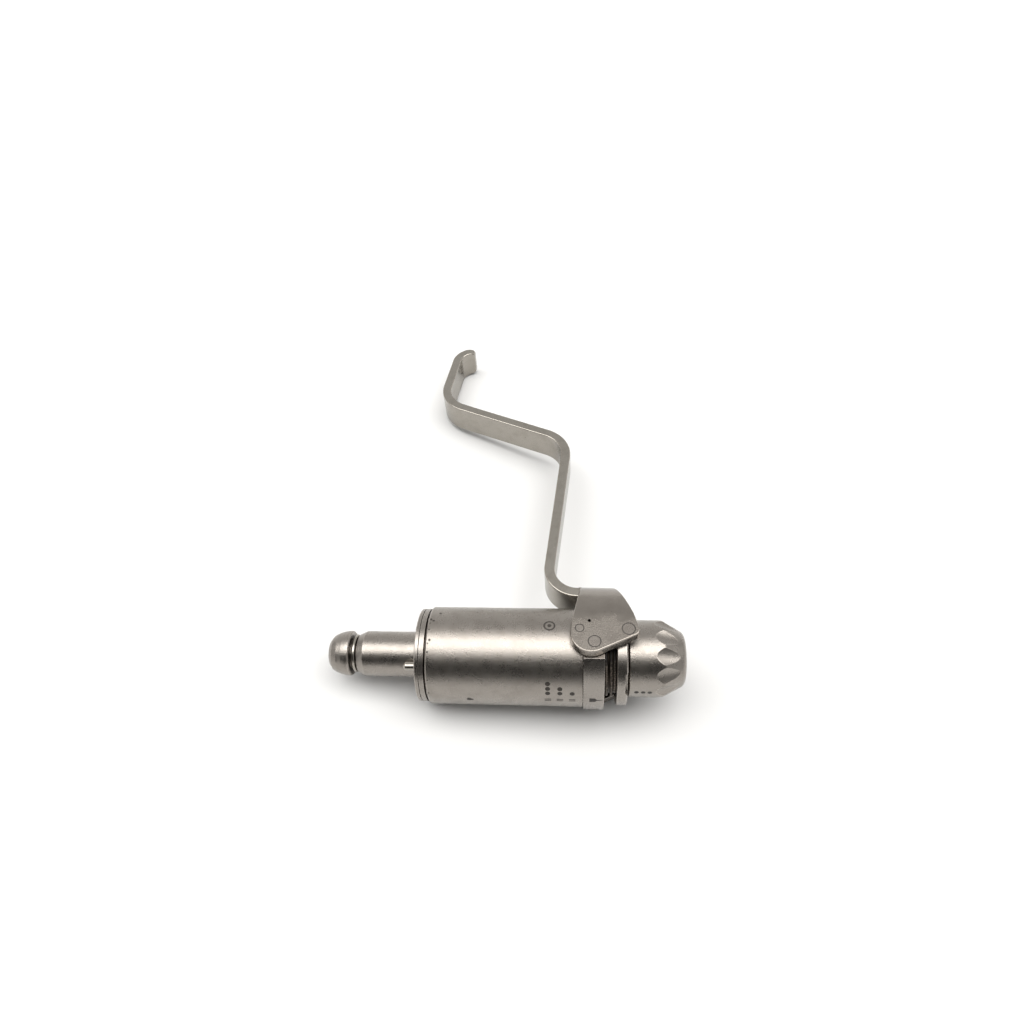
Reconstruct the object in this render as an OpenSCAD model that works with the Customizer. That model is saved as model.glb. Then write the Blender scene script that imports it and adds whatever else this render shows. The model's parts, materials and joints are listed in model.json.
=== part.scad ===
// Lever-operated wire driver attachment: a straight cannulated nose piece for a surgical power tool.
// The main axis is X. The rear seat face of the flange is at X = 0 and the nose points to +X.
// The clamping lever swings in the XY plane on the +Y side. All sizes are in millimetres.

/* [Barrel] */
// Outer radius of the barrel
barrel_r = 12.5; // [12.3:0.1:12.7]
// Bore radius of the barrel, which seats the bearings
barrel_bore_r = 10.5; // [10.4:0.1:10.6]
// Rear end of the barrel
barrel_x0 = 2.85; // [2.7:0.05:3.0]
// Front end of the barrel, where the lever collar starts
barrel_x1 = 42.2; // [42.0:0.1:42.4]
// Radius of the two thin rear flange rings
flange_r = 11.95; // [11.6:0.05:12.1]

/* [Coupling] */
// Radius of the coupling shank
shank_r = 5.85; // [5.7:0.05:6.0]
// Length of the shank and its head behind the flange
shank_len = 24.3; // [24:0.1:25]
// Radius of the locating pin beside the shank
locating_pin_r = 1.1; // [0.9:0.05:1.2]
// Distance that the locating pin stands out of the flange
locating_pin_len = 3.4; // [2.5:0.1:4]
// Radius of the passage for the wire
wire_r = 1.9; // [1.7:0.05:2]

/* [Lever] */
// Thickness of the lever strap
strap_t = 2.9; // [2.6:0.1:3.1]
// Width of the lever strap
strap_w = 9.2; // [8.5:0.1:10]
// Distance from the axis to the outer face of a fork cheek
cheek_out = 15.5; // [15.3:0.1:15.8]
// Distance from the axis to the inner face of a fork cheek
cheek_in = 12.85; // [12.8:0.05:12.95]
// Swing of the lever from rest to fully squeezed, in degrees
lever_swing = 15; // [12:1:15]

/* [Nose] */
// Outer radius of the range knob
knob_r = 9.78; // [9.7:0.02:9.9]
// Front end of the range knob
knob_x1 = 68; // [67.8:0.1:68.2]
// Number of finger flutes around the knob
flute_count = 12; // [8:1:12]
// Outer radius of the sliding drive ring
ring_r = 11.88; // [11.7:0.02:12]

/* [Hidden] */

run = 0.05;             // radial clearance of a running fit
eps = 0.01;             // overshoot of a cutter past the face it cuts
$fn = 96;

// coupling stations along X
head_groove_x0 = -18.5;
head_groove_x1 = -16.6;
groove_r = 4;
snap_wire_r = 0.48;
shank_bore_r = 4;
head_bore_r = 3;
shank_seat_r = 5.5;     // where the shank passes through the flange
shank_foot_r = 7.6;     // inner end of the shank, clamped behind the flange
shank_foot_x = [2.4, 4.4];
pin_circle_r = 7.5;     // pitch circle of the locating pin
pin_elevation = 37.5;   // its angle above the -Y side
pin_seat_r = 0.9;       // its stem, inside the flange
pin_seat_x = 2.2;

// bearings
bearing_w = 5;
race_in_r = 4.8;        // shaft seat
race_split = [6.6, 8.7];
ball_r = 1.5;
ball_pitch_r = 7.65;
ball_count = 9;
rear_bearing_x = 6;
front_bearing_x = 29;
nut_x1 = 37;

// lever collar and guide sleeve
collar_x1 = 47.3;
collar_flat = 12.7;     // half distance across the two pivot flats
collar_side_r = 17.6;   // bulged near side
collar_side_y = 5;      // offset of that side's centre
collar_back_r = 13.1;   // round far side
spring_seat_x = 43.8;
spring_pocket_r = 10;
guide_r = 8.9;
guide_bore_r = 7.6;
guide_x = [39, 57.5];

// drive ring
ring_x = [50.4, 53.1];
ring_travel = 1.22;
ring_notch_r = 9.9;     // floor of the notch in its front edge
shift_pin_r = 0.8;
shift_pin_x = 51.9;

// lever pins: pivot, drive and stop, in the XY plane
pivot = [44.8, -4.0];
pivot_pin_r = 1.4;
drive_point = [53.1, -0.4];
drive_pin_r = 1.45;
stop_point = [41.2, -0.4];
stop_pin_r = 0.92;
oil_hole = [43.6, 1.7];
pin_tip_z = 10.4;       // inner ends of the pivot and drive pins
stop_tip_z = 11.3;

// fork
fork_bend_y = 3;        // where the flat cheeks turn into the round back
fork_weld_x = 41.6;     // face where the strap is welded on

// strap: straight length, then the radius and left turn of the bend that follows it
strap_path = [[0.8, 7.8, -95.4], [42, 10, 72.1], [31, 10, -74.4], [13.5, 5.6, -86]];
strap_steps = 18;

// spindle stations
shaft_x = [-23.3, 36];
collet_r = 4.4;
collet_head_r = 4;
collet_x1 = 63;
closer_x = [46.6, 62.8];
cone_x = 57;
cone_r = 5.9;
cone_slope = 0.29;
jaw_w = 2;
jaw_x = [57.3, 62.5];
jaw_tip_r = 1.95;

// knob
knob_x0 = 53.5;
knob_edge_x = 61.9;
knob_edge_r = 1.5;
knob_chamfer = 30;
knob_nose_r = 2.2;
knob_cavity_r = 7.6;
knob_front_wall_x = 64.2;
nose_bush_r = 3.4;
nose_bore_r = 2.1;
flute_r = 5;
flute_x = 60.2;         // where the flute's bottom line leaves the knob's surface
flute_tilt = 20.5;
flute_phase = 65;       // elevation of one flute above the -Y side

// A turned piece about the X axis, from [radius, x] points.
module turned(points) {
    rotate([0, 90, 0]) rotate_extrude() polygon(points);
}

// A plain tube along X.
module tube(x0, x1, r_out, r_in) {
    turned([[r_in, x0], [r_out, x0], [r_out, x1], [r_in, x1]]);
}

// A solid rod along X.
module rod(x0, x1, r) {
    translate([x0, 0, 0]) rotate([0, 90, 0]) cylinder(h = x1 - x0, r = r);
}

// Turns its children about the main axis so that -Y points to the given elevation.
module at_elevation(angle) {
    rotate([-angle, 0, 0]) children();
}

// Its children twice, above and below the lever plane.
module both_sides() {
    children();
    mirror([0, 0, 1]) children();
}

// An upright pin through a fork cheek at a point of the XY plane.
module upright_pin(point, z0, z1, r) {
    translate([point[0], point[1], z0]) cylinder(h = z1 - z0, r = r);
}

function dir(a) = [cos(a), sin(a)];

function arc(centre, r, a0, a1, steps = 10) = [
    for (i = [0:steps]) let (a = a0 + (a1 - a0) * i / steps) [centre[0] + r * cos(a), centre[1] + r * sin(a)]
];

// A coil spring along X: a round wire swept along a helix with closed end turns.
function coil_x(u, x0, x1, turns, wire) =
    let (t = u * turns, dead = 0.75, pitch = (x1 - x0 - wire * (2 * dead + 1)) / (turns - 2 * dead))
    x0 + wire / 2 + wire * min(t, dead) + pitch * max(0, min(t, turns - dead) - dead)
    + wire * max(0, t - (turns - dead));

module coil(x0, x1, r, wire, turns, sides = 8, per_turn = 24) {
    rings = turns * per_turn;
    points = [
        for (i = [0:rings]) let (u = i / rings, a = 360 * turns * u, x = coil_x(u, x0, x1, turns, wire))
            for (k = [0:sides - 1]) let (b = 360 * k / sides, rr = r + wire / 2 * cos(b))
                [x + wire / 2 * sin(b), rr * cos(a), rr * sin(a)]
    ];
    walls = [
        for (i = [0:rings - 1]) for (k = [0:sides - 1])
            let (a = i * sides + k, b = i * sides + (k + 1) % sides)
                [b, a, a + sides, b + sides]
    ];
    caps = [[for (k = [0:sides - 1]) k], [for (k = [sides - 1:-1:0]) rings * sides + k]];
    polyhedron(points = points, faces = concat(walls, caps), convexity = 8);
}

// ---- coupling end ----

module coupling_shank() color("silver") {
    turned([
        [head_bore_r, -shank_len], [3.5, -shank_len], [4.6, -23.4], [5.3, -22], [5.7, -20.6],
        [shank_r, -19.6], [shank_r, -18.8], [shank_r - 0.3, head_groove_x0], [groove_r, head_groove_x0],
        [groove_r, head_groove_x1], [5, head_groove_x1], [shank_r, -14.8], [shank_r, 0],
        [shank_seat_r, 0], [shank_seat_r, shank_foot_x[0]],
        [shank_foot_r, shank_foot_x[0]], [shank_foot_r, shank_foot_x[1]], [shank_bore_r, shank_foot_x[1]],
        [shank_bore_r, -14.5], [head_bore_r, -15.5]
    ]);
}

module coupling_snap_ring() color("dimgray") {
    rotate([0, 90, 0]) rotate_extrude() translate([groove_r + snap_wire_r, head_groove_x1 - 0.9])
        circle(r = snap_wire_r, $fn = 32);
}

module locating_pin() color("gainsboro") {
    at_elevation(pin_elevation) translate([0, -pin_circle_r, 0]) {
        turned([[0, -locating_pin_len], [locating_pin_r - 0.4, -locating_pin_len],
            [locating_pin_r, -locating_pin_len + 0.5], [locating_pin_r, 0], [pin_seat_r, 0],
            [pin_seat_r, pin_seat_x], [0, pin_seat_x]]);
    }
}

module rear_flange() color("silver") {
    boss_r = barrel_bore_r;
    difference() {
        turned([
            [shank_seat_r, 0], [flange_r - 0.2, 0], [flange_r, 0.2], [flange_r, 0.95], [boss_r, 0.95],
            [boss_r, rear_bearing_x], [shank_foot_r, rear_bearing_x], [shank_foot_r, shank_foot_x[0]],
            [shank_seat_r, shank_foot_x[0]]
        ]);
        at_elevation(pin_elevation) translate([0, -pin_circle_r, 0]) rod(-eps, pin_seat_x, pin_seat_r);
    }
}

module flange_ring() color("silver") {
    turned([[barrel_bore_r, 1.15], [flange_r, 1.15], [flange_r, 2.35], [barrel_bore_r, 2.35]]);
}

// ---- barrel and bearings ----

// The arc that a stop pin's end travels in, cut into the barrel about the lever's pivot.
module stop_slot() {
    slot_r = stop_pin_r + 0.08;
    arm = norm(stop_point - pivot);
    start = atan2(stop_point[1] - pivot[1], stop_point[0] - pivot[0]);
    depth = barrel_r - stop_tip_z + 0.2;
    translate([pivot[0], pivot[1], stop_tip_z - 0.1]) rotate([0, 0, start]) {
        rotate_extrude(angle = lever_swing) translate([arm - slot_r, 0]) square([2 * slot_r, depth]);
        for (a = [0, lever_swing]) rotate([0, 0, a]) translate([arm, 0, 0]) cylinder(h = depth, r = slot_r);
    }
}

module barrel() color("silver") {
    difference() {
        turned([
            [barrel_bore_r, barrel_x0], [barrel_r - 0.35, barrel_x0], [barrel_r, barrel_x0 + 0.35],
            [barrel_r, barrel_x1 - 0.2], [barrel_r - 0.2, barrel_x1], [barrel_bore_r, barrel_x1]
        ]);
        both_sides() stop_slot();
    }
}

module bearing_race(x, r_in, r_out) {
    difference() {
        tube(x, x + bearing_w, r_out, r_in);
        translate([x + bearing_w / 2, 0, 0]) rotate([0, 90, 0]) rotate_extrude()
            translate([ball_pitch_r, 0]) circle(r = ball_r + run, $fn = 48);
    }
}

module bearing_balls(x) {
    for (i = [0:ball_count - 1]) rotate([360 / ball_count * i, 0, 0])
        translate([x + bearing_w / 2, ball_pitch_r, 0]) sphere(r = ball_r, $fn = 32);
}

module rear_bearing_outer() color("lightsteelblue") bearing_race(rear_bearing_x, race_split[1], barrel_bore_r);
module rear_bearing_inner() color("lightsteelblue") bearing_race(rear_bearing_x, race_in_r, race_split[0]);
module rear_bearing_balls() color("white") bearing_balls(rear_bearing_x);
module front_bearing_outer() color("lightsteelblue") bearing_race(front_bearing_x, race_split[1], barrel_bore_r);
module front_bearing_inner() color("lightsteelblue") bearing_race(front_bearing_x, race_in_r, race_split[0]);
module front_bearing_balls() color("white") bearing_balls(front_bearing_x);

module bearing_spacer() color("gray") {
    tube(rear_bearing_x + bearing_w, front_bearing_x, barrel_bore_r, barrel_bore_r - 0.9);
}

module bearing_nut() color("gray") {
    difference() {
        tube(front_bearing_x + bearing_w, nut_x1, barrel_bore_r, 7.2);
        for (a = [0, 90]) rotate([a, 0, 0]) translate([nut_x1 - 0.8, -1, -barrel_bore_r])
            cube([1, 2, 2 * barrel_bore_r]);
    }
}

module shaft_seal() color("black") {
    tube(0, 1.4, shank_bore_r, 3.4 + run);
}

// ---- spindle ----

module drive_shaft() color("darkgray") {
    shaft_body_r = 6.2;
    difference() {
        turned([
            [wire_r, shaft_x[0]], [2.6, shaft_x[0]], [2.6, -14], [3.4, -14], [3.4, rear_bearing_x - 0.6],
            [race_in_r, rear_bearing_x - 0.6], [race_in_r, rear_bearing_x + bearing_w],
            [shaft_body_r, rear_bearing_x + bearing_w], [shaft_body_r, front_bearing_x],
            [race_in_r, front_bearing_x], [race_in_r, shaft_x[1]], [wire_r, shaft_x[1]]
        ]);
        translate([shaft_x[0] - eps, -0.7, -4]) cube([1.6, 1.4, 8]);
    }
}

module collet_body() color("darkgray") {
    difference() {
        turned([
            [wire_r, shaft_x[1]], [race_in_r, shaft_x[1]], [race_in_r, 40.6], [6.4, 40.6], [6.4, 42],
            [collet_r, 42], [collet_r, 56.4], [collet_head_r, 56.4], [collet_head_r, collet_x1 - 0.5],
            [collet_head_r - 0.5, collet_x1], [wire_r, collet_x1]
        ]);
        for (i = [0:2]) rotate([120 * i, 0, 0])
            translate([jaw_x[0] - 0.1, -jaw_w / 2 - run, 0])
                cube([jaw_x[1] - jaw_x[0] + 0.2, jaw_w + 2 * run, collet_r + 1]);
    }
}

// One clamping jaw, pointing up from the axis.
module jaw(turn) {
    function ramp(x) = cone_r - cone_slope * (x - cone_x) - 0.2;
    rotate([120 * turn, 0, 0]) translate([0, jaw_w / 2, 0]) rotate([90, 0, 0])
        linear_extrude(jaw_w) polygon([
            [jaw_x[0], jaw_tip_r], [jaw_x[1], jaw_tip_r], [jaw_x[1], ramp(jaw_x[1])], [jaw_x[0], ramp(jaw_x[0])]
        ]);
}

module jaw_1() color("goldenrod") jaw(0);
module jaw_2() color("goldenrod") jaw(1);
module jaw_3() color("goldenrod") jaw(2);

module jaw_spring() color("steelblue") {
    coil(42, closer_x[0], collet_r + 0.8, 0.6, 4.5);
}

module closing_sleeve() color("slategray") {
    bore = collet_r + run;
    turned([
        [bore, closer_x[0]], [6.9, closer_x[0]], [6.9, closer_x[0] + 1.2], [5.6, closer_x[0] + 1.2],
        [5.6, 55.6], [7, 55.6], [7, closer_x[1]], [cone_r - cone_slope * (closer_x[1] - cone_x), closer_x[1]],
        [cone_r, cone_x], [cone_r, 56], [bore, 56]
    ]);
}

module thrust_washer() color("lightsteelblue") {
    tube(closer_x[0] + 1.2, closer_x[0] + 1.8, 7.3, 5.6);
}

// ---- lever collar, guide sleeve and springs ----

module lever_collar() color("silver") {
    difference() {
        union() {
            intersection() {
                translate([0, collar_side_y, 0]) rod(barrel_x1, collar_x1, collar_side_r);
                translate([barrel_x1, -20, -collar_flat]) cube([collar_x1 - barrel_x1, 20, 2 * collar_flat]);
            }
            intersection() {
                rod(barrel_x1, collar_x1, collar_back_r);
                translate([barrel_x1, -eps, -collar_flat]) cube([collar_x1 - barrel_x1, 20, 2 * collar_flat]);
            }
            rod(38, barrel_x1, barrel_bore_r);
        }
        rod(38 - eps, collar_x1 + eps, guide_r);
        rod(spring_seat_x, collar_x1 + eps, spring_pocket_r);
        both_sides() upright_pin(pivot, pin_tip_z - 1.5, collar_flat + eps, pivot_pin_r + run);
    }
}

module guide_sleeve() color("dimgray") {
    slot_x = [shift_pin_x - ring_travel - shift_pin_r - 0.15, shift_pin_x + shift_pin_r + 0.15];
    difference() {
        turned([
            [guide_bore_r, guide_x[0]], [guide_r, guide_x[0]], [guide_r, 56], [8.4, 56], [8.4, 56.8],
            [guide_r, 56.8], [guide_r, guide_x[1]], [guide_bore_r, guide_x[1]]
        ]);
        translate([slot_x[0], -guide_r - 1, -shift_pin_r - 0.1])
            cube([slot_x[1] - slot_x[0], 2 * guide_r + 2, 2 * shift_pin_r + 0.2]);
        translate([54.4, 0, -guide_r - 1]) cylinder(h = 3, r = 0.85);
    }
}

module return_spring() color("steelblue") {
    coil(spring_seat_x, ring_x[0], guide_r + 0.45, 0.7, 5.5);
}

module detent_ball() color("white") {
    translate([54.4, 0, -8.4]) sphere(r = 0.8, $fn = 32);
}

module detent_spring() color("steelblue") {
    difference() {
        tube(53.9, 54.9, guide_bore_r, 7.2);
        translate([53, -1.5, 0]) cube([3, 3, 10]);
    }
}

module knob_circlip() color("dimgray") {
    difference() {
        tube(56.05, 56.75, 9.15, 8.4);
        translate([55, -1.5, -10]) cube([3, 3, 10]);
    }
}

// ---- drive ring ----

// The notch in the ring's front edge on the near side, with sloping ends.
module ring_notch() {
    at_elevation(27.5) translate([0, -ring_notch_r, 0]) rotate([90, 0, 0]) linear_extrude(10)
        polygon([[52.45, -2.6], [52.45, 2.6], [53.2, 3.5], [53.2, -3.5]]);
}

module drive_ring() color("silver") {
    difference() {
        turned([
            [guide_r + run, ring_x[0]], [ring_r - 0.2, ring_x[0]], [ring_r, ring_x[0] + 0.2],
            [ring_r, ring_x[1] - 0.3], [ring_r - 0.3, ring_x[1]], [guide_r + run, ring_x[1]]
        ]);
        ring_notch();
        both_sides() translate([drive_point[0] - drive_pin_r - run, -2.4, 9.9]) cube([4, 5.9, 4]);
        rotate([90, 0, 0]) translate([shift_pin_x, 0, -11.2]) cylinder(h = 22.4, r = shift_pin_r);
    }
}

module shift_pins() color("gainsboro") {
    for (side = [-1, 1]) rotate([90 * side, 0, 0]) translate([shift_pin_x, 0, 6.4])
        cylinder(h = 11.2 - 6.4, r = shift_pin_r);
}

module thrust_carrier() color("slategray") {
    difference() {
        tube(ring_x[0], 53.6, guide_bore_r - run, 5.9);
        for (side = [-1, 1]) rotate([90 * side, 0, 0]) translate([shift_pin_x, 0, 6.4])
            cylinder(h = 2, r = shift_pin_r);
    }
}

module thrust_balls() color("white") {
    for (i = [0:11]) rotate([30 * i + 15, 0, 0]) translate([49.43, 6.65, 0]) sphere(r = 0.95, $fn = 32);
}

// ---- lever ----

module fork_outline() {
    polygon(concat(
        arc([43.95, -1.85], 5, 178, 296.4),
        arc([54.2, -0.5], 1.65, -63.6, 16),
        [[54.6, 4.1], [53.45, 7.1]],
        arc([46.8, fork_bend_y + cheek_out - 3.4], 3.4, 20.9, 90),
        [[fork_weld_x, fork_bend_y + cheek_out], [fork_weld_x, 16], [40.9, 10.9], [39.9, 4.8], [39.15, 1.3]]
    ));
}

// A U in the YZ plane: flat cheeks with a round back.
module fork_profile(reach) {
    translate([30, fork_bend_y, 0]) rod(0, 30, reach);
    translate([30, -10, -reach]) cube([30, 10 + fork_bend_y, 2 * reach]);
}

module lever_fork() color("silver") {
    difference() {
        intersection() {
            translate([0, 0, -20]) linear_extrude(40) fork_outline();
            difference() {
                fork_profile(cheek_out);
                translate([-eps, 0, 0]) fork_profile(cheek_in);
            }
        }
        both_sides() {
            upright_pin(pivot, cheek_in - 1, cheek_out + 1, pivot_pin_r);
            upright_pin(drive_point, cheek_in - 1, cheek_out + 1, drive_pin_r);
            upright_pin(stop_point, cheek_in - 1, cheek_out + 1, stop_pin_r);
            upright_pin(oil_hole, cheek_in - 1, cheek_out + 1, 0.4);
        }
    }
}

// One edge of the strap's outline, offset to the left of its centre line, from segment i on.
function strap_edge(offset, i, p, heading) =
    i == len(strap_path) ? [p + offset * dir(heading + 90)] :
    let (
        length = strap_path[i][0],
        r = strap_path[i][1],
        turn = strap_path[i][2],
        side = turn > 0 ? 1 : -1,
        bend_start = p + length * dir(heading),
        centre = bend_start + side * r * dir(heading + 90),
        first = heading - side * 90
    )
    concat(
        i == 0 ? [p + offset * dir(heading + 90)] : [],
        arc(centre, r - side * offset, first, first + turn, strap_steps),
        strap_edge(offset, i + 1, centre + r * dir(first + turn), heading + turn)
    );

module lever_strap() color("lightgray") {
    start = [fork_weld_x, fork_bend_y + (cheek_out + cheek_in) / 2 + 0.05];
    left = strap_edge(strap_t / 2, 0, start, 180);
    right = strap_edge(-strap_t / 2, 0, start, 180);
    translate([0, 0, -strap_w / 2]) linear_extrude(strap_w)
        polygon(concat(left, [for (i = [len(right) - 1:-1:0]) right[i]]));
}

module pivot_pins() color("gainsboro") {
    both_sides() upright_pin(pivot, pin_tip_z, cheek_out, pivot_pin_r);
}

module drive_pins() color("gainsboro") {
    both_sides() upright_pin(drive_point, pin_tip_z, cheek_out, drive_pin_r);
}

module stop_pins() color("gainsboro") {
    both_sides() upright_pin(stop_point, stop_tip_z, cheek_out, stop_pin_r);
}

// ---- nose ----

// One finger flute: a round cut that runs forward and inward.
module flute() {
    translate([flute_x, -knob_r, 0]) rotate([0, 0, flute_tilt]) translate([0, -flute_r, 0])
        rotate([0, 90, 0]) cylinder(r = flute_r, h = 24, center = true, $fn = 96);
}

module range_knob() color("silver") {
    shoulder = [
        for (a = [0:10:knob_chamfer])
            [knob_r - knob_edge_r * (1 - cos(a)), knob_edge_x + knob_edge_r * sin(a)]
    ];
    cone_start = shoulder[len(shoulder) - 1];
    nose_x = knob_x1 - knob_nose_r;
    cone_end_x = nose_x + knob_nose_r * sin(knob_chamfer);
    cone_end_r = cone_start[0] - (cone_end_x - cone_start[1]) * tan(knob_chamfer);
    front_r = cone_end_r - knob_nose_r * cos(knob_chamfer);
    nose = [
        for (a = [knob_chamfer:10:90]) [front_r + knob_nose_r * cos(a), nose_x + knob_nose_r * sin(a)]
    ];
    difference() {
        turned(concat(
            [[guide_r + run, knob_x0], [knob_r - 0.25, knob_x0], [knob_r, knob_x0 + 0.25]],
            shoulder,
            nose,
            [
                [nose_bush_r, knob_x1], [nose_bush_r, knob_front_wall_x],
                [knob_cavity_r, knob_front_wall_x], [knob_cavity_r, 57.8], [guide_r + run, 57.8],
                [guide_r + run, 56.85], [9.2, 56.85], [9.2, 55.95], [guide_r + run, 55.95],
                [guide_r + run, 55.3], [9.25, 55.3], [9.25, 53.75], [guide_r + run, 53.75]
            ]
        ));
        for (i = [0:flute_count - 1]) at_elevation(flute_phase + 360 / flute_count * i) flute();
    }
}

module nose_bush() color("dimgray") {
    turned([
        [nose_bore_r, knob_front_wall_x - 0.2], [nose_bush_r, knob_front_wall_x - 0.2], [nose_bush_r, knob_x1],
        [nose_bore_r + 0.5, knob_x1], [nose_bore_r, knob_x1 - 0.5]
    ]);
}

coupling_shank();
coupling_snap_ring();
locating_pin();
rear_flange();
flange_ring();
barrel();
rear_bearing_outer();
rear_bearing_balls();
rear_bearing_inner();
bearing_spacer();
front_bearing_outer();
front_bearing_balls();
front_bearing_inner();
bearing_nut();
shaft_seal();
drive_shaft();
collet_body();
jaw_spring();
closing_sleeve();
thrust_washer();
jaw_1();
jaw_2();
jaw_3();
lever_collar();
guide_sleeve();
return_spring();
detent_ball();
detent_spring();
knob_circlip();
drive_ring();
shift_pins();
thrust_carrier();
thrust_balls();
lever_fork();
lever_strap();
pivot_pins();
drive_pins();
stop_pins();
range_knob();
nose_bush();
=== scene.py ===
import json
import math

import bmesh
import bpy
from mathutils import Matrix, Vector


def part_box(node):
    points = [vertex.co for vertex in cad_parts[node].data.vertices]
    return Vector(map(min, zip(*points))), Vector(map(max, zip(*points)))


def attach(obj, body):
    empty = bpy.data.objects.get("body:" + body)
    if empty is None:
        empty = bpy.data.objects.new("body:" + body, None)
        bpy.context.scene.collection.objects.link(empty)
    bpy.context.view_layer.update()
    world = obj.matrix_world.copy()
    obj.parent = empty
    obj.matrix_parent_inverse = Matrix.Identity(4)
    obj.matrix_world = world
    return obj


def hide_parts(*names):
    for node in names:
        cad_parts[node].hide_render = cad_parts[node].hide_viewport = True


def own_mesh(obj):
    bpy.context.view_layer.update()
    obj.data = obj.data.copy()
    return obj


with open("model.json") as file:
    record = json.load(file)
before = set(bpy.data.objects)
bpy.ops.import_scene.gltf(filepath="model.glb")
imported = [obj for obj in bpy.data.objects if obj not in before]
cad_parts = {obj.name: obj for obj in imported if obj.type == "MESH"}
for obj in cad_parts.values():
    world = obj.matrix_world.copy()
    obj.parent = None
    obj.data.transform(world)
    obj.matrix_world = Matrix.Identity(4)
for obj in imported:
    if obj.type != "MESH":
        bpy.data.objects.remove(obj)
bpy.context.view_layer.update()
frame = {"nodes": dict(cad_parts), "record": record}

MM = 0.001

# ---------------------------------------------------------------- places taken from the frame

BARREL_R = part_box("barrel")[1].z
KNOB_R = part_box("range_knob")[1].z
KNOB_X0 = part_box("range_knob")[0].x
COLLAR_X1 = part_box("lever_collar")[1].x
CHEEK_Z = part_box("lever_fork")[1].z
STRAP_LOW, STRAP_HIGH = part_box("lever_strap")
STRAP_W = STRAP_HIGH.z - STRAP_LOW.z
SPRING_LOW, SPRING_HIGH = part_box("return_spring")
JAW_SPRING_LOW, JAW_SPRING_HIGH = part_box("jaw_spring")
PIN_NODES = ("pivot_pins", "drive_pins", "stop_pins")


def pin_place(node):
    """The XY centre and radius of a pair of upright pins."""
    low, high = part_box(node)
    return (low.x + high.x) / 2, (low.y + high.y) / 2, (high.x - low.x) / 2


# ---------------------------------------------------------------- node materials

class Nodes:
    """A node tree, built up by small calls. A value is a number, a colour or another node's output."""

    def __init__(self, tree):
        self.tree = tree

    def add(self, kind, **settings):
        node = self.tree.nodes.new(kind)
        for key, value in settings.items():
            setattr(node, key, value)
        return node

    def link(self, source, target):
        self.tree.links.new(source, target)

    def put(self, value, socket):
        if isinstance(value, bpy.types.NodeSocket):
            self.link(value, socket)
        elif isinstance(value, tuple):
            socket.default_value = (*value, 1.0)
        else:
            socket.default_value = value

    def math(self, operation, *values):
        node = self.add("ShaderNodeMath", operation=operation)
        for socket, value in zip(node.inputs, values):
            self.put(value, socket)
        return node.outputs["Value"]

    def scaled(self, value, gain, offset=0.0):
        return self.math("ADD", self.math("MULTIPLY", value, gain), offset)

    def ramp(self, value, low, high, at_low, at_high):
        """A smooth step of value from low to high."""
        node = self.add("ShaderNodeMapRange", interpolation_type="SMOOTHSTEP")
        limits = {"From Min": low, "From Max": high, "To Min": at_low, "To Max": at_high}
        for key, number in limits.items():
            node.inputs[key].default_value = number
        self.link(value, node.inputs["Value"])
        return node.outputs["Result"]

    def mix(self, fac, first, second):
        """A mix of two numbers by fac."""
        node = self.add("ShaderNodeMix", data_type="FLOAT")
        for socket, value in zip((node.inputs[0], node.inputs[2], node.inputs[3]), (fac, first, second)):
            self.put(value, socket)
        return node.outputs[0]

    def blend(self, fac, first, second):
        """A mix of two colours by fac."""
        node = self.add("ShaderNodeMix", data_type="RGBA")
        for socket, value in zip((node.inputs[0], node.inputs[6], node.inputs[7]), (fac, first, second)):
            self.put(value, socket)
        return node.outputs[2]


class Shader(Nodes):
    """One material, with its noises, edges and bumps."""

    def __init__(self, name):
        self.material = bpy.data.materials.new(name)
        self.material.use_nodes = True
        super().__init__(self.material.node_tree)
        self.bsdf = self.tree.nodes["Principled BSDF"]
        self.place = self.add("ShaderNodeTexCoord").outputs["Object"]

    def stretched(self, scale):
        """The object's coordinates, scaled along each axis so that noise runs in streaks."""
        node = self.add("ShaderNodeMapping")
        node.inputs["Scale"].default_value = scale
        self.link(self.place, node.inputs["Vector"])
        return node.outputs["Vector"]

    def noise(self, size, detail=3.0, roughness=0.55, vector=None):
        """Noise whose blobs are about size metres across."""
        node = self.add("ShaderNodeTexNoise")
        node.inputs["Scale"].default_value = 1 / size
        node.inputs["Detail"].default_value = detail
        node.inputs["Roughness"].default_value = roughness
        self.link(vector or self.place, node.inputs["Vector"])
        return node.outputs["Fac"]

    def spots(self, size, share):
        """A mask of small irregular spots, one to a cell of the given size."""
        cells = self.add("ShaderNodeTexVoronoi")
        cells.inputs["Scale"].default_value = 1 / size
        self.link(self.place, cells.inputs["Vector"])
        wobble = self.scaled(self.noise(size * 0.35), 0.25, -0.12)
        ragged = self.math("ADD", cells.outputs["Distance"], wobble)
        return self.ramp(ragged, share, share * 0.55, 0.0, 1.0)

    def rounded_edge(self, radius):
        """The normal with the corners within radius metres rounded off."""
        node = self.add("ShaderNodeBevel", samples=4)
        node.inputs["Radius"].default_value = radius
        return node.outputs["Normal"]

    def wear_highlight_edge(self, radius):
        """A mask of the corners within radius metres, painted lighter: partly worn metal, partly a painted
        highlight.
        """
        rounded = self.rounded_edge(radius)
        turn = self.add("ShaderNodeVectorMath", operation="DOT_PRODUCT")
        self.link(self.add("ShaderNodeNewGeometry").outputs["Normal"], turn.inputs[0])
        self.link(rounded, turn.inputs[1])
        return self.ramp(turn.outputs["Value"], 0.998, 0.965, 0.0, 1.0)

    def bump(self, height, strength, distance, normal=None):
        node = self.add("ShaderNodeBump")
        node.inputs["Strength"].default_value = strength
        node.inputs["Distance"].default_value = distance
        self.link(height, node.inputs["Height"])
        if normal is not None:
            self.link(normal, node.inputs["Normal"])
        return node.outputs["Normal"]


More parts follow.
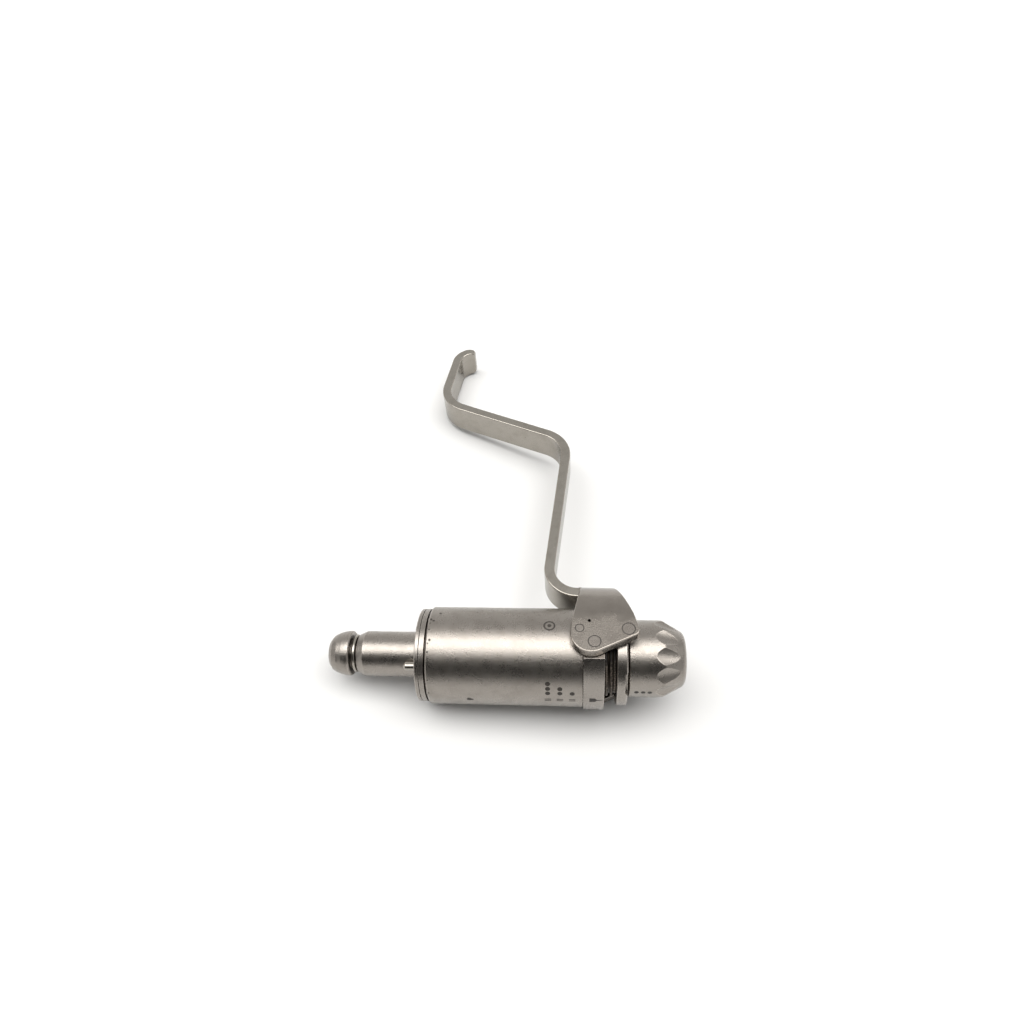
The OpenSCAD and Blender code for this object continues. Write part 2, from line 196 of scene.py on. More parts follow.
CLOUD_SIZE = 4.5 * MM
WEAR_HIGHLIGHT_REACH = 0.25 * MM
DIRT_AND_SHADE_REACH = 1.8 * MM
RUST = (0.05, 0.032, 0.02)
DIRT_AND_SHADE = (0.045, 0.032, 0.022)


def steel(name, tint, stain, rough, grain, depth, edge=0.12 * MM, wear_highlight=0.7, wear_highlight_layer=None, streak=None,
          spot=None, dirt_and_shade=0.5, patch=None):
    """Stainless steel with mottling, grain, dirt and painted shade in its corners, and optional streaks and
    spots.

    tint and stain are its clean and its stained colours, grain and depth the size and height of its grain.
    edge is the radius its corners are shaded with, and streak the stretch of its fine scratches.
    wear_highlight is how much lighter its corners are painted, as wear and as a painted highlight. They are
    found from the mesh, or come from the layer wear_highlight_layer.
    spot is the spacing and the share of rust specks. dirt_and_shade is how dark its inner corners are
    painted, as dirt and as painted shade.
    patch is a Y value above which the grain fades out."""
    s = Shader(name)
    s.bsdf.inputs["Metallic"].default_value = 1.0
    cloud = s.ramp(s.noise(CLOUD_SIZE, 4.0), 0.42, 0.72, 0.0, 0.35)
    colour = s.blend(cloud, tint, stain)
    texture = s.noise(grain, 2.5, 0.6)
    pits = s.ramp(s.noise(grain * 1.6, 2.0), 0.58, 0.72, 0.0, 0.2)
    if patch is not None:
        split = s.add("ShaderNodeSeparateXYZ")
        s.link(s.place, split.inputs[0])
        wavy = s.math("ADD", split.outputs["Y"], s.scaled(s.noise(3.5 * MM, 3.0), 9 * MM, -4.5 * MM))
        near = s.ramp(wavy, patch, patch + 2 * MM, 1.0, 0.0)
        texture = s.math("MULTIPLY", texture, near)
        pits = s.math("MULTIPLY", pits, near)
    colour = s.blend(pits, colour, stain)
    if spot is not None:
        size, share = spot
        colour = s.blend(s.math("MULTIPLY", s.spots(size, share), 0.85), colour, RUST)
    # corners painted lighter: partly wear, partly a painted highlight along the edges
    if wear_highlight:
        wear_highlight_tint = tuple(min(1.0, 2.0 * value) for value in tint)
        if wear_highlight_layer is None:
            wear_highlight_mask = s.wear_highlight_edge(WEAR_HIGHLIGHT_REACH)
        else:
            wear_highlight_mask = s.add("ShaderNodeAttribute", attribute_name=wear_highlight_layer).outputs["Fac"]
        colour = s.blend(s.math("MULTIPLY", wear_highlight_mask, wear_highlight), colour, wear_highlight_tint)
    # inner corners painted darker by occlusion: partly dirt, partly painted shade where the corners lie in
    # shade
    if dirt_and_shade:
        corner = s.add("ShaderNodeAmbientOcclusion", samples=6, only_local=False)
        corner.inputs["Distance"].default_value = DIRT_AND_SHADE_REACH
        ragged = s.math("ADD", corner.outputs["AO"], s.scaled(s.noise(0.7 * MM, 3.0), 0.7, -0.35))
        colour = s.blend(s.ramp(ragged, 0.25, 0.62, dirt_and_shade, 0.0), colour, DIRT_AND_SHADE)
    s.link(colour, s.bsdf.inputs["Base Color"])
    uneven = s.scaled(s.noise(2.4 * MM, 3.0), 0.14, rough - 0.07)
    s.link(s.math("ADD", uneven, s.scaled(texture, 0.14, -0.07)), s.bsdf.inputs["Roughness"])
    normal = s.bump(texture, 1.0, depth, s.rounded_edge(edge))
    if streak is not None:
        lines = s.noise(0.16 * MM, 2.0, 0.5, s.stretched(streak))
        normal = s.bump(lines, 0.35, 0.008 * MM, normal)
    s.link(normal, s.bsdf.inputs["Normal"])
    return s.material


def sooty(name, colour, residue_and_reflection, rough, height):
    """Blackened spring wire, painted lighter and speckled below a Z height: dry residue and a painted
    reflection of the table.
    """
    s = Shader(name)
    s.bsdf.inputs["Metallic"].default_value = 0.6
    split = s.add("ShaderNodeSeparateXYZ")
    s.link(s.place, split.inputs[0])
    # below the height the wire is painted lighter and speckled: residue, and a painted reflection of the
    # table beneath
    wavy = s.math("ADD", split.outputs["Z"], s.scaled(s.noise(2 * MM, 3.0), 6 * MM, -3 * MM))
    low = s.ramp(wavy, height - 1 * MM, height + 1 * MM, 1.0, 0.0)
    speckle = s.ramp(s.noise(0.45 * MM, 2.0, 0.6), 0.40, 0.62, 0.15, 1.0)
    s.link(s.blend(s.math("MULTIPLY", low, speckle), colour, residue_and_reflection), s.bsdf.inputs["Base Color"])
    s.link(s.scaled(s.noise(0.3 * MM), 0.2, rough - 0.1), s.bsdf.inputs["Roughness"])
    s.link(s.bump(speckle, 0.6, 0.03 * MM), s.bsdf.inputs["Normal"])
    return s.material


def dull(name, colour, stain, rough):
    """A dark non-metal: etched marks and rubber."""
    s = Shader(name)
    tone = s.blend(s.ramp(s.noise(0.3 * MM), 0.35, 0.7, 0.0, 1.0), colour, stain)
    s.link(tone, s.bsdf.inputs["Base Color"])
    s.link(s.scaled(s.noise(0.15 * MM), 0.2, rough - 0.1), s.bsdf.inputs["Roughness"])
    s.link(s.bump(s.noise(0.1 * MM), 0.4, 0.01 * MM), s.bsdf.inputs["Normal"])
    return s.material


MATERIALS = {
    "blasted_steel": steel(
        "blasted_steel", (0.300, 0.276, 0.250), (0.19, 0.170, 0.150), rough=0.29, grain=0.27 * MM,
        depth=0.055 * MM, dirt_and_shade=0.9, spot=(3.2 * MM, 0.016)),
    "satin_steel": steel(
        "satin_steel", (0.295, 0.272, 0.248), (0.21, 0.190, 0.170), rough=0.28, grain=0.28 * MM,
        depth=0.022 * MM, dirt_and_shade=0.9, spot=(3.4 * MM, 0.02)),
    "cheek_steel": steel(
        "cheek_steel", (0.27, 0.246, 0.220), (0.19, 0.168, 0.147), rough=0.27, grain=0.36 * MM,
        depth=0.04 * MM, edge=0.05 * MM, wear_highlight=0.35, wear_highlight_layer="wear_highlight_mask", dirt_and_shade=0.0,
        spot=(2.0 * MM, 0.03), patch=1.6 * MM),
    "polished_steel": steel(
        "polished_steel", (0.35, 0.328, 0.292), (0.22, 0.196, 0.164), rough=0.22, grain=0.30 * MM,
        depth=0.008 * MM, edge=0.05 * MM, streak=(0.25, 0.25, 6.0), spot=(3.0 * MM, 0.035)),
    "pin_steel": steel(
        "pin_steel", (0.27, 0.246, 0.222), (0.19, 0.17, 0.15), rough=0.28, grain=0.2 * MM,
        depth=0.012 * MM, wear_highlight=0.2),
    "bearing_steel": steel(
        "bearing_steel", (0.6, 0.6, 0.6), (0.5, 0.5, 0.5), rough=0.14, grain=0.3 * MM,
        depth=0.002 * MM, wear_highlight=0, dirt_and_shade=0),
    "dark_steel": steel(
        "dark_steel", (0.024, 0.021, 0.018), (0.014, 0.012, 0.010), rough=0.38, grain=0.3 * MM,
        depth=0.02 * MM, wear_highlight=0),
    "spring_steel": sooty("spring_steel", (0.03, 0.027, 0.024), (0.23, 0.195, 0.16), 0.5, 7.5 * MM),
    "seal_rubber": dull("seal_rubber", (0.018, 0.018, 0.018), (0.03, 0.03, 0.03), 0.6),
    "etching": dull("etching", (0.012, 0.009, 0.007), (0.035, 0.027, 0.02), 0.6),
}


def finish_nodes():
    """Gives every CAD node the material of its slot, and the flush pins one of their own."""
    for part in frame["record"]["subparts"]:
        node = frame["nodes"][part["node"]]
        node.data.materials.clear()
        node.data.materials.append(MATERIALS[part["material_slot"]])
    for name in PIN_NODES:
        frame["nodes"][name].data.materials[0] = MATERIALS["pin_steel"]


# ---------------------------------------------------------------- mesh helpers

def new_object(name, data):
    item = bpy.data.objects.new(name, data)
    bpy.context.scene.collection.objects.link(item)
    return item


def new_piece(name, mesh, material, body):
    piece = new_object(name, mesh)
    mesh.materials.append(MATERIALS[material])
    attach(piece, body)
    return piece


def prism(name, outline, axis, low, high):
    """A closed prism: outline, a list of two-number points, pushed along axis from low to high."""
    order = {"x": (2, 0, 1), "z": (0, 1, 2)}[axis]
    bm = bmesh.new()
    rings = []
    for level in (low, high):
        ring = []
        for point in outline:
            values = (*point, level)
            ring.append(bm.verts.new([values[k] for k in order]))
        rings.append(ring)
    bm.faces.new(rings[0])
    bm.faces.new(rings[1])
    count = len(outline)
    for i in range(count):
        j = (i + 1) % count
        bm.faces.new((rings[0][i], rings[0][j], rings[1][j], rings[1][i]))
    bmesh.ops.recalc_face_normals(bm, faces=bm.faces)
    mesh = bpy.data.meshes.new(name)
    bm.to_mesh(mesh)
    bm.free()
    return mesh


def cut(piece, mesh, operation):
    """Applies a boolean between the piece and a mesh."""
    tool = new_object("tool", mesh)
    change = piece.modifiers.new("cut", "BOOLEAN")
    change.operation = operation
    change.solver = "EXACT"
    change.object = tool
    apply_modifiers(piece)
    bpy.data.objects.remove(tool)


SHARP_EDGE = 0.6        # radians between the faces of an edge that is bevelled


def bevel_edges(piece, width, segments, chosen):
    """Bevels the sharp edges that chosen(edge) picks."""
    bm = bmesh.new()
    bm.from_mesh(piece.data)
    bmesh.ops.remove_doubles(bm, verts=bm.verts, dist=1e-7)
    bmesh.ops.dissolve_limit(bm, angle_limit=math.radians(0.5), verts=bm.verts, edges=bm.edges)
    paired = [e for e in bm.edges if len(e.link_faces) == 2]
    edges = [e for e in paired if e.calc_face_angle() > SHARP_EDGE and chosen(e)]
    bmesh.ops.bevel(bm, geom=edges, offset=width, segments=segments, profile=0.5, affect="EDGES",
                    clamp_overlap=False)
    bm.to_mesh(piece.data)
    bm.free()


def even_normals(piece, sharp=50):
    """Smooth shading that stays flat on the large faces."""
    for face in piece.data.polygons:
        face.use_smooth = True
    piece.data.set_sharp_from_angle(angle=math.radians(sharp))
    change = piece.modifiers.new("normals", "WEIGHTED_NORMAL")
    change.keep_sharp = True
    apply_modifiers(piece)


def apply_modifiers(piece):
    """Puts the piece's mesh, as its modifiers leave it, in place of its old one."""
    depsgraph = bpy.context.evaluated_depsgraph_get()
    result = bpy.data.meshes.new_from_object(piece.evaluated_get(depsgraph))
    piece.modifiers.clear()
    old = piece.data
    piece.data = result
    bpy.data.meshes.remove(old)


def arc(centre, radius, first, last, steps=14):
    """Points along an arc, with its angles in degrees."""
    points = []
    for i in range(steps + 1):
        angle = math.radians(first + (last - first) * i / steps)
        points.append((centre[0] + radius * math.cos(angle), centre[1] + radius * math.sin(angle)))
    return points


def circle(centre, radius, count):
    """count points round a circle."""
    return arc(centre, radius, 0, 360 - 360 / count, count - 1)


def in_mm(points):
    """Points given in millimetres, in metres."""
    return [(x * MM, y * MM) for x, y in points]


def sweep(name, stations, ring):
    """A capped tube through stations, each an origin and two axes. ring(i) is its outline in those axes."""
    bm = bmesh.new()
    loops = []
    for i, (origin, across, up) in enumerate(stations):
        loops.append([bm.verts.new(origin + across * a + up * b) for a, b in ring(i)])
    for first, second in zip(loops, loops[1:]):
        count = len(first)
        for k in range(count):
            m = (k + 1) % count
            bm.faces.new((first[k], first[m], second[m], second[k]))
    bm.faces.new(loops[0])
    bm.faces.new(loops[-1])
    bmesh.ops.recalc_face_normals(bm, faces=bm.faces)
    mesh = bpy.data.meshes.new(name)
    bm.to_mesh(mesh)
    bm.free()
    return mesh


# ---------------------------------------------------------------- the lever

# in mm
FORK_BACK_Y = 3.0        # where the flat cheeks turn into the round back
FORK_LOW_Y = -10
FORK_REAR_X = 41.6       # the back's rear edge, where the strap is welded on
FORK_BLANK_X = (30, 60)
FORK_CORNER_R = 3.4
CHEEK_OUT = CHEEK_Z / MM
CHEEK_IN = 12.85
CHAMFER_WIDTH = 0.28
CHAMFER_SLOPE = 0.38     # its fall for each mm of its width
CHAMFER_MARGIN = 0.01
OUTSIDE_BAND = 0.1       # how far below the outer face an edge still counts as on it
INNER_ROUND = 0.22
OIL_HOLE = (43.6, 1.7)
OIL_HOLE_R = 0.4
# in metres
CUT_REACH = 20 * MM      # a cutting tool runs from -Z to +Z by this much
PIN_SEAM = 0.25 * MM
SEAM_TOP, SEAM_FLOOR = 0.03 * MM, 0.6 * MM
SEAM_GAP = 0.005 * MM


def fork_outline():
    """The fork seen along Z, in mm."""
    corner = (46.8, FORK_BACK_Y + CHEEK_OUT - FORK_CORNER_R)
    around_pivot = arc((43.95, -1.85), 5, 178, 296.4)
    around_drive_pin = arc((54.2, -0.5), 1.65, -63.6, 16, 8)
    front_edge = [(54.6, 4.1), (53.45, 7.1)]
    front_corner = arc(corner, FORK_CORNER_R, 20.9, 90, 8)
    rear_edge = [(FORK_REAR_X, FORK_BACK_Y + CHEEK_OUT), (FORK_REAR_X, 16), (40.9, 10.9), (39.9, 4.8),
                 (39.15, 1.3)]
    return around_pivot + around_drive_pin + front_edge + front_corner + rear_edge


def fork_profile():
    """The fork's U seen along X, in mm, as (y, z) points."""
    centre = (FORK_BACK_Y, 0)
    return (
        [(FORK_LOW_Y, -CHEEK_OUT)]
        + arc(centre, CHEEK_OUT, -90, 90, 48)
        + [(FORK_LOW_Y, CHEEK_OUT), (FORK_LOW_Y, CHEEK_IN)]
        + arc(centre, CHEEK_IN, 90, -90, 48)
        + [(FORK_LOW_Y, -CHEEK_IN)]
    )


def outer_level(vertex):
    """How far out a fork vertex lies, in mm: CHEEK_OUT on the outer face of the U, cheeks and back."""
    y, z = vertex.co.y / MM, abs(vertex.co.z) / MM
    return z if y < FORK_BACK_Y else math.hypot(y - FORK_BACK_Y, z)


def on_outside(edge):
    return all(outer_level(vertex) > CHEEK_OUT - OUTSIDE_BAND for vertex in edge.verts)


def off_outside(edge):
    return all(outer_level(vertex) <= CHEEK_OUT - OUTSIDE_BAND for vertex in edge.verts)


def in_chamfer(below):
    """True for a depth below the outer face, in mm, that the chamfer reaches."""
    return CHAMFER_MARGIN < below < CHAMFER_WIDTH + CHAMFER_MARGIN


def lower_chamfer(fork):
    """Makes the 45 degree chamfer round the fork's outer face a shallow one."""
    for vertex in fork.data.vertices:
        level = outer_level(vertex)
        below = CHEEK_OUT - level
        if in_chamfer(below):
            grow = (CHEEK_OUT - below * CHAMFER_SLOPE) / level
            vertex.co.z *= grow
            if vertex.co.y > FORK_BACK_Y * MM:
                vertex.co.y = (FORK_BACK_Y + (vertex.co.y / MM - FORK_BACK_Y) * grow) * MM


def make_fork():
    """Two flat cheeks joined by a round back, with a chamfer painted lighter as wear and as a painted
    highlight, and holes for the pins.
    """
    low_x, high_x = (x * MM for x in FORK_BLANK_X)
    blank = prism("fork_plate", in_mm(fork_profile()), "x", low_x, high_x)
    fork = new_piece("fork_plate", blank, "cheek_steel", "lever")
    cut(fork, prism("outline", in_mm(fork_outline()), "z", -CUT_REACH, CUT_REACH), "INTERSECT")
    bevel_edges(fork, CHAMFER_WIDTH * MM, 1, on_outside)
    bevel_edges(fork, INNER_ROUND * MM, 2, off_outside)
    lower_chamfer(fork)
    holes = []
    for node in PIN_NODES:
        x, y, radius = pin_place(node)
        holes.append(circle((x, y), radius + PIN_SEAM, 60))
    holes.append(circle((OIL_HOLE[0] * MM, OIL_HOLE[1] * MM), OIL_HOLE_R * MM, 24))
    for hole in holes:
        cut(fork, prism("hole", hole, "z", -CUT_REACH, CUT_REACH), "DIFFERENCE")
    even_normals(fork, sharp=16)
    # the chamfer is marked to be painted lighter, as wear and as a painted highlight
    wear_highlight_mask = fork.data.attributes.new("wear_highlight_mask", "FLOAT", "POINT")
    for vertex, value in zip(fork.data.vertices, wear_highlight_mask.data):
        value.value = 1.0 if in_chamfer(CHEEK_OUT - outer_level(vertex)) else 0.0
    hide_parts("lever_fork")


def make_pin_seams():
    """The dark dirt-filled line round each flush pin, just under the cheek's face."""
    bm = bmesh.new()
    steps = 48
    top, floor = CHEEK_Z - SEAM_TOP, CHEEK_Z - SEAM_FLOOR
    for node in PIN_NODES:
        x, y, radius = pin_place(node)
        outer, inner = radius + PIN_SEAM, radius + SEAM_GAP
        for side in (-1, 1):
            rings = []
            for r, z in ((outer, top), (outer, floor), (inner, floor), (inner, top)):
                rings.append([bm.verts.new((a, b, side * z)) for a, b in circle((x, y), r, steps)])
            for first, second in zip(rings, rings[1:] + rings[:1]):
                for i in range(steps):
                    j = (i + 1) % steps
                    bm.faces.new((first[i], first[j], second[j], second[i]))
    bmesh.ops.recalc_face_normals(bm, faces=bm.faces)
    mesh = bpy.data.meshes.new("pin_seams")
    bm.to_mesh(mesh)
    bm.free()
    new_piece("pin_seams", mesh, "etching", "lever")


# in mm
STRAP_START = (FORK_REAR_X, 17.225)      # the middle of the welded end
STRAP_T = 2.9
STRAP_EDGE_R = 0.36
STRAP_BEND_STEPS = 22
TIP_LENGTH = 2.6         # the stretch over which the tip is rounded off, by these amounts on each side
TIP_NARROWS, TIP_THINS = 1.3, 0.5
# straight length, then the radius and left turn of the bend that follows it
STRAP_PATH = ((0.8, 7.8, -95.4), (42, 10, 72.1), (31, 10, -74.4), (13.5, 5.6, -86))


def strap_stations():
    """Points and headings along the strap's middle, in mm and degrees."""
    x, y = STRAP_START
    heading = 180.0
    stations = [(x, y, heading)]
    for length, radius, turn in STRAP_PATH:
        x += length * math.cos(math.radians(heading))
        y += length * math.sin(math.radians(heading))
        stations.append((x, y, heading))
        side = 1 if turn > 0 else -1
        cx = x + side * radius * math.cos(math.radians(heading + 90))
        cy = y + side * radius * math.sin(math.radians(heading + 90))
        for i in range(1, STRAP_BEND_STEPS + 1):
            now = heading + turn * i / STRAP_BEND_STEPS
            x = cx + radius * math.cos(math.radians(now - side * 90))
            y = cy + radius * math.sin(math.radians(now - side * 90))
            stations.append((x, y, now))
        heading += turn
    return stations


def rounded_section(half_t, half_w, radius, steps=4):
    """A rectangle with rounded corners, as (thickness, width) points."""
    points = []
    for k, (sign_t, sign_w) in enumerate(((1, 1), (-1, 1), (-1, -1), (1, -1))):
        centre = (sign_t * (half_t - radius), sign_w * (half_w - radius))
        points += arc(centre, radius, 90 * k, 90 * (k + 1), steps)
    return points


def make_strap():
    """The S-bent strap with its hooked tip."""
    stations = strap_stations()
    x_end, y_end, _ = stations[-1]
    frames, shapes = [], []
    for x, y, heading in stations:
        across = Vector((math.cos(math.radians(heading + 90)), math.sin(math.radians(heading + 90)), 0))
        frames.append((Vector((x, y, 0)) * MM, across * MM, Vector((0, 0, MM))))
        back = min(1.0, math.hypot(x - x_end, y - y_end) / TIP_LENGTH) if heading < 60 else 1.0
        round_off = math.sqrt(max(0.0, 1 - (1 - back) ** 2))
        half_w = STRAP_W / MM / 2 - TIP_NARROWS * (1 - round_off)
        half_t = STRAP_T / 2 - TIP_THINS * (1 - round_off)
        shapes.append(rounded_section(half_t, half_w, STRAP_EDGE_R))
    strap = new_piece("strap_band", sweep("strap_band", frames, lambda i: shapes[i]),
                      "polished_steel", "lever")
    even_normals(strap)
    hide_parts("lever_strap")


def make_weld():
    """The uneven bead that joins the strap to the fork."""
    x, y = STRAP_START
    half_t, half_w = STRAP_T / 2 - 0.05, STRAP_W / MM / 2 - 0.05
    path = rounded_section(half_t, half_w, 0.7, 6)
    count = len(path)
    frames, shapes = [], []
    for i, (across, along) in enumerate(path + path[:1]):
        before, after = path[(i - 1) % count], path[(i + 1) % count]
        tangent = Vector((0, after[0] - before[0], after[1] - before[1])).normalized()
        out = Vector((0, tangent.z, -tangent.y))
        frames.append((Vector((x - 0.1, y + across, along)) * MM, out * MM, Vector((MM, 0, 0))))
        size = 0.36 + 0.08 * math.sin(5.1 * (i % count)) + 0.05 * math.sin(2.3 * (i % count) + 1)
        shapes.append([(0.8 * a, 1.5 * b) for a, b in circle((0, 0), size, 10)])
    bead = new_piece("weld_bead", sweep("weld_bead", frames, lambda i: shapes[i]),
                     "polished_steel", "lever")
    for face in bead.data.polygons:
        face.use_smooth = True


# ---------------------------------------------------------------- springs

DEAD_TURNS = 0.75        # the part of a turn that lies flat at each end
STEPS_A_TURN = 48


def make_coil(name, node, low, high, wire, turns, body):
    """A round-wire spring along X with closed ends."""
    radius = (high.z - low.z) / 2 - wire / 2
    dead = DEAD_TURNS
    pitch = (high.x - low.x - wire * (2 * dead + 1)) / (turns - 2 * dead)
    frames = []
    steps = int(turns * STEPS_A_TURN)
    for i in range(steps + 1):
        t = turns * i / steps
        x = low.x + wire / 2 + wire * min(t, dead) + pitch * max(0, min(t, turns - dead) - dead)
        x += wire * max(0, t - (turns - dead))
        out = Vector((0, math.cos(2 * math.pi * t), math.sin(2 * math.pi * t)))
        frames.append((Vector((x, 0, 0)) + out * radius, out, Vector((1, 0, 0))))
    ring = circle((0, 0), wire / 2, 12)
    coil = new_piece(name, sweep(name, frames, lambda i: ring), "spring_steel", body)
    for face in coil.data.polygons:
        face.use_smooth = True
    coil.data.set_sharp_from_angle(angle=math.radians(60))
    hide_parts(node)
    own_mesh(coil)


# ---------------------------------------------------------------- etched marks

def on_cylinder(x, across, radius, elevation):
    """A point on a cylinder about X.

    elevation is in degrees up from -Y, and across is measured round the cylinder, down from there."""
    angle = math.radians(elevation) - across / radius
    return Vector((x, -radius * math.cos(angle), radius * math.sin(angle)))


def etch(name, shapes, radius, body):
    """Thin closed plugs almost flush with a cylinder.

    Each shape is an outline of (x, across) points, and its elevation."""
    proud, deep = 0.012 * MM, 0.06 * MM
    bm = bmesh.new()
    for outline, elevation in shapes:
        top = [bm.verts.new(on_cylinder(x, a, radius + proud, elevation)) for x, a in outline]
        low = [bm.verts.new(on_cylinder(x, a, radius - deep, elevation)) for x, a in outline]
        bm.faces.new(top)
        bm.faces.new(low)
        count = len(top)
        for i in range(count):
            j = (i + 1) % count
            bm.faces.new((top[i], top[j], low[j], low[i]))
    bmesh.ops.recalc_face_normals(bm, faces=bm.faces)
    mesh = bpy.data.meshes.new(name)
    bm.to_mesh(mesh)
    bm.free()
    return new_piece(name, mesh, "etching", body)


def dot(x, across=0.0, radius=0.63 * MM):
    return circle((x, across), radius, 24)


def bar(x0, x1, a0, a1):
    return [(x0, a0), (x1, a0), (x1, a1), (x0, a1)]


LEGEND_ELEVATION = 15.8
SPECK_ELEVATION = 1
CENTRE_MARK_ELEVATION = 99
KNOB_DOTS_ELEVATION = 2.5
ARROW_ELEVATION = 4
KNOB_STEP = 36           # degrees from one index position to the next


def make_barrel_marks():
    """The range legend, a speck, the centre mark and pits along the barrel's rear edge.

    The legend has columns of three, two and one dots, each over two short plain lines."""
    pitch = 1.5 * MM
    shapes = []
    for x, count in ((33.4, 3), (36.4, 2), (39.45, 1)):
        for k in range(count):
            shapes.append((dot(x * MM, -k * pitch), LEGEND_ELEVATION))
        for across in (2.2, 2.85):
            line = bar((x - 0.8) * MM, (x + 0.8) * MM, across * MM, (across + 0.3) * MM)
            shapes.append((line, LEGEND_ELEVATION))
    shapes.append((dot(13.6 * MM, 0, 0.66 * MM), SPECK_ELEVATION))
    shapes.append((dot(14.3 * MM, 0.1 * MM, 0.35 * MM), SPECK_ELEVATION))
    etch("legend_marks", shapes, BARREL_R, "housing")
    mark_x = 33.7 * MM
    rings = [(dot(mark_x, 0, 0.5 * MM), CENTRE_MARK_ELEVATION)]
    for start in (0, 180):
        outer = arc((mark_x, 0), 1.5 * MM, start, start + 180, 16)
        inner = arc((mark_x, 0), 1.1 * MM, start + 180, start, 16)
        rings.append((outer + inner, CENTRE_MARK_ELEVATION))
    etch("centre_mark", rings, BARREL_R, "housing")
    pits = []
    for x, elevation, size in (
        (5.6, 118, 0.32), (4.3, 104, 0.3), (3.6, 106, 0.34), (3.5, 100, 0.2),
        (3.5, 91, 0.22), (3.9, 78, 0.3), (3.5, 74, 0.18), (3.5, 64, 0.26),
        (3.6, 57, 0.24), (3.5, 49, 0.18), (3.5, 31, 0.16), (3.5, 12, 0.2),
    ):
        pits.append((circle((x * MM, 0), size * MM, 9), elevation))
    etch("edge_pits", pits, BARREL_R, "housing")


def make_knob_marks():
    """Dots at each index step of the range knob: three, two and one."""
    shapes = []
    for k, count in enumerate((3, 2, 1)):
        for i in range(count):
            mark = dot(KNOB_X0 + (1.95 + 1.65 * i) * MM, 0, 0.57 * MM)
            shapes.append((mark, KNOB_DOTS_ELEVATION - KNOB_STEP * k))
    etch("knob_marks", shapes, KNOB_R, "knob")


def make_arrow():
    """The index arrow on the collar's near side, which points to the knob's dots.

    It is two halves, so that neither sinks under the curved side along its middle."""
    side_r, side_y = 17.6 * MM, 5 * MM
    tip = COLLAR_X1 - 0.3 * MM
    tail = tip - 3.3 * MM
    halves = []
    for side in (1, -1):
        edge = [(tip, 0.06), (tip - 1.5 * MM, 0.2), (tip - 1.9 * MM, 0.75), (tail, 0.9)]
        outline = [(x, side * across * MM) for x, across in edge]
        halves.append(([(tip, 0)] + outline + [(tail, 0)], ARROW_ELEVATION))
    arrow = etch("index_arrow", halves, side_r, "housing")
    for vertex in arrow.data.vertices:
        vertex.co.y += side_y


# ---------------------------------------------------------------- stage, light and camera

def make_stage():
    """A pale table that the fork, the barrel's rear rim and the lever's tip rest on."""
    slope_x, slope_y, height = -0.091, 0.0626, -12.108 * MM
    normal = Vector((-slope_x, -slope_y, 1)).normalized()
    turn = Vector((0, 0, 1)).rotation_difference(normal).to_matrix().to_4x4()
    half = 4.0
    outline = [(-half, -half), (half, -half), (half, half), (-half, half)]
    table = new_object("table_top", prism("table_top", outline, "z", -0.02, 0))
    table.matrix_world = Matrix.Translation((0, 0, height - 0.05 * MM)) @ turn
    s = Shader("table_paint")
    s.link(s.blend(s.noise(0.4), (0.71, 0.71, 0.706), (0.69, 0.69, 0.686)), s.bsdf.inputs["Base Color"])
    s.link(s.scaled(s.noise(0.01), 0.05, 0.75), s.bsdf.inputs["Roughness"])
    s.bsdf.inputs["Specular IOR Level"].default_value = 0.2
    table.data.materials.append(s.material)


# The room's brightness around the main axis: degrees up from -Y, the zenith being 90, and the radiance
ROOM = (
    (0, 0.45), (8, 0.18), (16, 0.05), (46, 0.05), (60, 0.25), (67, 1.0),
    (74, 4.8), (103, 4.8), (111, 1.0), (126, 0.68), (160, 0.85), (180, 0.9),
)
ROOM_ENDS = 0.6
BACKDROP = 0.95


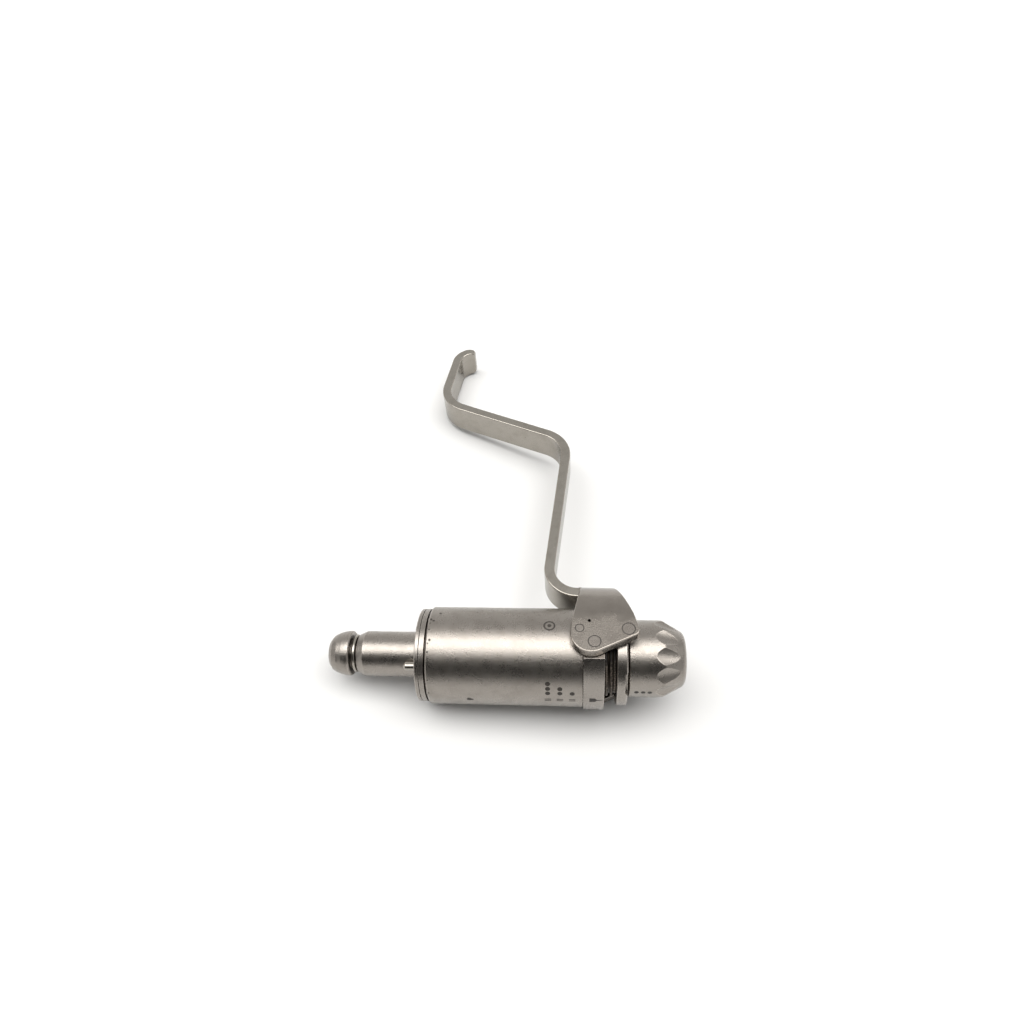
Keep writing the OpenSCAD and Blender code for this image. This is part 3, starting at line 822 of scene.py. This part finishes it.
def make_world():
    """A white room with a long soft light overhead, and a darker side towards the viewer, at -Y."""
    world = bpy.data.worlds.new("studio")
    bpy.context.scene.world = world
    world.use_nodes = True
    world.node_tree.nodes.clear()
    n = Nodes(world.node_tree)
    split = n.add("ShaderNodeSeparateXYZ")
    n.link(n.add("ShaderNodeTexCoord").outputs["Generated"], split.inputs[0])
    toward_viewer = n.math("MULTIPLY", split.outputs["Y"], -1.0)
    angle = n.math("ARCTAN2", split.outputs["Z"], toward_viewer)
    colours = n.add("ShaderNodeValToRGB")
    brightest = max(value for _, value in ROOM)
    stops = colours.color_ramp.elements
    while len(stops) < len(ROOM):
        stops.new(0.5)
    for stop, (degrees, _) in zip(stops, ROOM):
        stop.position = degrees / 180
    for stop, (_, value) in zip(stops, ROOM):
        stop.color = (value / brightest, value / brightest, value / brightest, 1.0)
    n.link(n.math("DIVIDE", angle, math.pi), colours.inputs["Fac"])
    room = n.math("MULTIPLY", colours.outputs["Color"], brightest)

    # towards the ends of the axis the room is an even grey
    side = n.ramp(n.math("ABSOLUTE", split.outputs["X"]), 0.55, 0.9, 0.0, 1.0)
    around = n.mix(side, room, ROOM_ENDS)

    # the camera sees an even backdrop, and not the lights
    seen = n.mix(n.add("ShaderNodeLightPath").outputs["Is Camera Ray"], around, BACKDROP)
    background = n.add("ShaderNodeBackground")
    background.inputs["Color"].default_value = (1.0, 0.99, 0.975, 1.0)
    n.link(seen, background.inputs["Strength"])
    n.link(background.outputs["Background"], n.add("ShaderNodeOutputWorld").inputs["Surface"])


def make_camera():
    """The photograph's view, as fitted to its outlines."""
    azimuth, elevation, roll = (math.radians(v) for v in (7.36, 50.6, -5.51))
    target = Vector((21.06, 48.59, 0)) * MM
    distance = 232.3 * MM
    back = Vector((
        math.sin(azimuth) * math.cos(elevation),
        -math.cos(azimuth) * math.cos(elevation),
        math.sin(elevation),
    ))
    level = (-back).cross(Vector((0, 0, 1))).normalized()
    upright = level.cross(-back)
    right = level * math.cos(roll) + upright * math.sin(roll)
    up = upright * math.cos(roll) - level * math.sin(roll)
    data = bpy.data.cameras.new("camera")
    data.sensor_width = 36.0
    data.lens = 27.07
    data.clip_start = 0.005
    camera = new_object("camera", data)
    place = Matrix((right, up, back)).transposed().to_4x4()
    place.translation = target + back * distance
    camera.matrix_world = place
    bpy.context.scene.camera = camera


finish_nodes()
make_fork()
make_pin_seams()
make_strap()
make_weld()
make_coil("ring_spring", "return_spring", SPRING_LOW, SPRING_HIGH,
          wire=0.7 * MM, turns=5.5, body="housing")
make_coil("collet_spring", "jaw_spring", JAW_SPRING_LOW, JAW_SPRING_HIGH,
          wire=0.6 * MM, turns=4.5, body="spindle")
make_barrel_marks()
make_knob_marks()
make_arrow()
make_stage()
make_world()
make_camera()
bpy.context.scene.view_settings.view_transform = "Standard"
